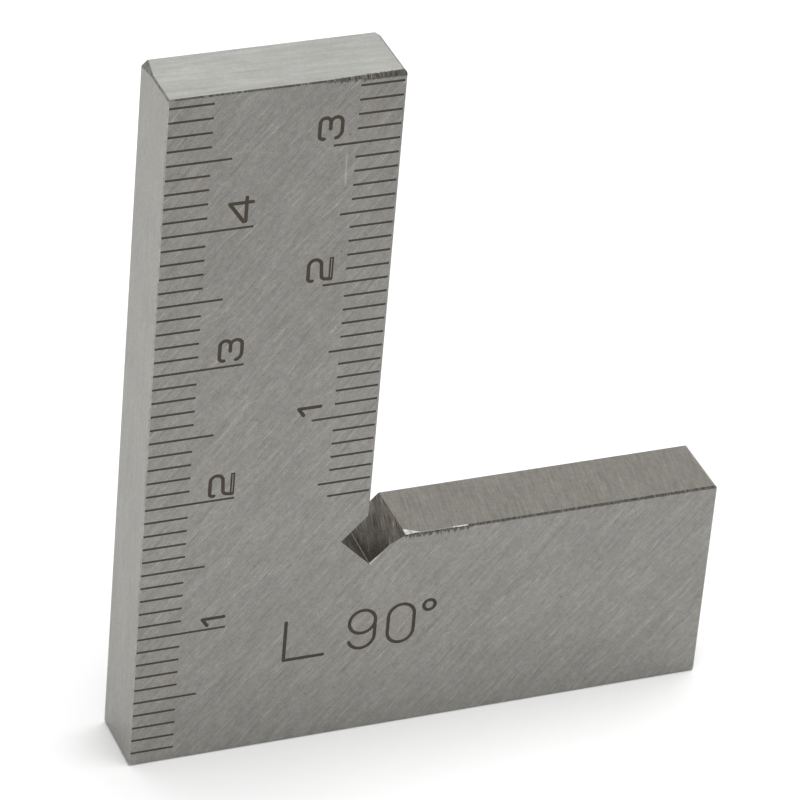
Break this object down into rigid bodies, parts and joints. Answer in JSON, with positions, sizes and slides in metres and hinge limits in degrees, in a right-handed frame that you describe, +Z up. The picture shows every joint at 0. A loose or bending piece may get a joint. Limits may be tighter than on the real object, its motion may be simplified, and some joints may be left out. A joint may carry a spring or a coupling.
{
  "type": "flat precision square",
  "caption": "Small one-piece steel square: an L-shaped ground plate with a relief notch in its inner corner and engraved millimetre scales on the blade's two edges.",
  "frame": {"origin": "middle of the base edge's flat face, midway through the steel's thickness", "axes": "+X along the beam towards its free end, +Z up the blade, and the graduated face looks towards -Y"},
  "size_m": [0.04, 0.005, 0.0496],
  "materials": {
    "ground_steel": "satin, ground",
    "mark_infill": "matte"
  },
  "bodies": {
    "root": {"square_body": "ground_steel", "outer_mm_lines": "mark_infill", "outer_half_cm_lines": "mark_infill", "outer_cm_lines": "mark_infill", "outer_numeral_1": "mark_infill", "outer_numeral_2": "mark_infill", "outer_numeral_3": "mark_infill", "outer_numeral_4": "mark_infill", "inner_mm_lines": "mark_infill", "inner_half_cm_lines": "mark_infill", "inner_cm_lines": "mark_infill", "inner_numeral_1": "mark_infill", "inner_numeral_2": "mark_infill", "inner_numeral_3": "mark_infill", "angle_mark": "mark_infill"}
  },
  "joints": []
}
